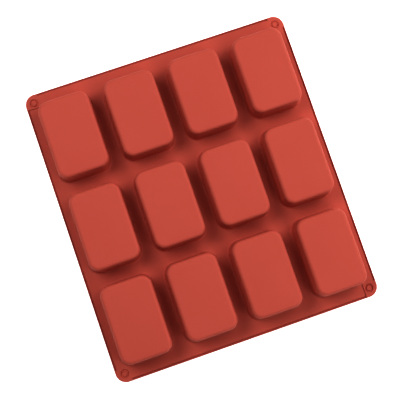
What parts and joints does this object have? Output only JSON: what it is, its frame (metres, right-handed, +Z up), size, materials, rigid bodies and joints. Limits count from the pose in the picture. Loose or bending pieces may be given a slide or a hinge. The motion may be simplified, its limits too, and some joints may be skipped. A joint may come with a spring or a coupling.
{
  "type": "multi-cavity soap bar mould",
  "caption": "Flexible silicone tray mould with rectangular rounded cups for soap bars; cup floors push in and the webs between columns fold to release the bars.",
  "frame": {"origin": "on the surface that the mould lies on, below the centre of its rim", "axes": "the mould lies on its rim with its cups upward and its mouths downward; +Z up towards the cup floors, +X across the columns, +Y along the rows"},
  "size_m": [0.27, 0.296, 0.0294],
  "materials": {
    "silicone": "matte moulded silicone, terracotta red"
  },
  "bodies": {
    "column_1": {"web_1": "silicone", "rim_left": "silicone", "cup_wall_r1c1": "silicone", "cup_wall_r2c1": "silicone", "cup_wall_r3c1": "silicone"},
    "column_2": {"web_2": "silicone", "rim_far_2": "silicone", "rim_near_2": "silicone", "strip_12": "silicone", "strip_23": "silicone", "cup_wall_r1c2": "silicone", "cup_wall_r2c2": "silicone", "cup_wall_r3c2": "silicone"},
    "column_3": {"web_3": "silicone", "rim_far_3": "silicone", "rim_near_3": "silicone", "strip_34": "silicone", "cup_wall_r1c3": "silicone", "cup_wall_r2c3": "silicone", "cup_wall_r3c3": "silicone"},
    "column_4": {"web_4": "silicone", "rim_right": "silicone", "cup_wall_r1c4": "silicone", "cup_wall_r2c4": "silicone", "cup_wall_r3c4": "silicone"},
    "floor_r1c1": {"cup_floor_r1c1": "silicone"},
    "floor_r1c2": {"cup_floor_r1c2": "silicone"},
    "floor_r1c3": {"cup_floor_r1c3": "silicone"},
    "floor_r1c4": {"cup_floor_r1c4": "silicone"},
    "floor_r2c1": {"cup_floor_r2c1": "silicone"},
    "floor_r2c2": {"cup_floor_r2c2": "silicone"},
    "floor_r2c3": {"cup_floor_r2c3": "silicone"},
    "floor_r2c4": {"cup_floor_r2c4": "silicone"},
    "floor_r3c1": {"cup_floor_r3c1": "silicone"},
    "floor_r3c2": {"cup_floor_r3c2": "silicone"},
    "floor_r3c3": {"cup_floor_r3c3": "silicone"},
    "floor_r3c4": {"cup_floor_r3c4": "silicone"}
  },
  "joints": [
    {"name": "fold_12", "type": "hinge", "parent": "column_2", "child": "column_1", "pos_m": [-0.066, 0, 0.0012], "axis": [0, 1, 0], "range_deg": [0, 30], "stiffness_Nm_per_rad": 0.25, "deforming": ["strip_12"]},
    {"name": "fold_23", "type": "hinge", "parent": "column_2", "child": "column_3", "pos_m": [0, 0, 0.0012], "axis": [0, -1, 0], "range_deg": [0, 30], "stiffness_Nm_per_rad": 0.25, "deforming": ["strip_23"]},
    {"name": "fold_34", "type": "hinge", "parent": "column_3", "child": "column_4", "pos_m": [0.066, 0, 0.0012], "axis": [0, -1, 0], "range_deg": [0, 30], "stiffness_Nm_per_rad": 0.25, "deforming": ["strip_34"]},
    {"name": "push_r1c1", "type": "slide", "parent": "column_1", "child": "floor_r1c1", "axis": [0, 0, -1], "range_m": [0, 0.012], "stiffness_N_per_m": 1200},
    {"name": "push_r1c2", "type": "slide", "parent": "column_2", "child": "floor_r1c2", "axis": [0, 0, -1], "range_m": [0, 0.012], "stiffness_N_per_m": 1200},
    {"name": "push_r1c3", "type": "slide", "parent": "column_3", "child": "floor_r1c3", "axis": [0, 0, -1], "range_m": [0, 0.012], "stiffness_N_per_m": 1200},
    {"name": "push_r1c4", "type": "slide", "parent": "column_4", "child": "floor_r1c4", "axis": [0, 0, -1], "range_m": [0, 0.012], "stiffness_N_per_m": 1200},
    {"name": "push_r2c1", "type": "slide", "parent": "column_1", "child": "floor_r2c1", "axis": [0, 0, -1], "range_m": [0, 0.012], "stiffness_N_per_m": 1200},
    {"name": "push_r2c2", "type": "slide", "parent": "column_2", "child": "floor_r2c2", "axis": [0, 0, -1], "range_m": [0, 0.012], "stiffness_N_per_m": 1200},
    {"name": "push_r2c3", "type": "slide", "parent": "column_3", "child": "floor_r2c3", "axis": [0, 0, -1], "range_m": [0, 0.012], "stiffness_N_per_m": 1200},
    {"name": "push_r2c4", "type": "slide", "parent": "column_4", "child": "floor_r2c4", "axis": [0, 0, -1], "range_m": [0, 0.012], "stiffness_N_per_m": 1200},
    {"name": "push_r3c1", "type": "slide", "parent": "column_1", "child": "floor_r3c1", "axis": [0, 0, -1], "range_m": [0, 0.012], "stiffness_N_per_m": 1200},
    {"name": "push_r3c2", "type": "slide", "parent": "column_2", "child": "floor_r3c2", "axis": [0, 0, -1], "range_m": [0, 0.012], "stiffness_N_per_m": 1200},
    {"name": "push_r3c3", "type": "slide", "parent": "column_3", "child": "floor_r3c3", "axis": [0, 0, -1], "range_m": [0, 0.012], "stiffness_N_per_m": 1200},
    {"name": "push_r3c4", "type": "slide", "parent": "column_4", "child": "floor_r3c4", "axis": [0, 0, -1], "range_m": [0, 0.012], "stiffness_N_per_m": 1200}
  ]
}
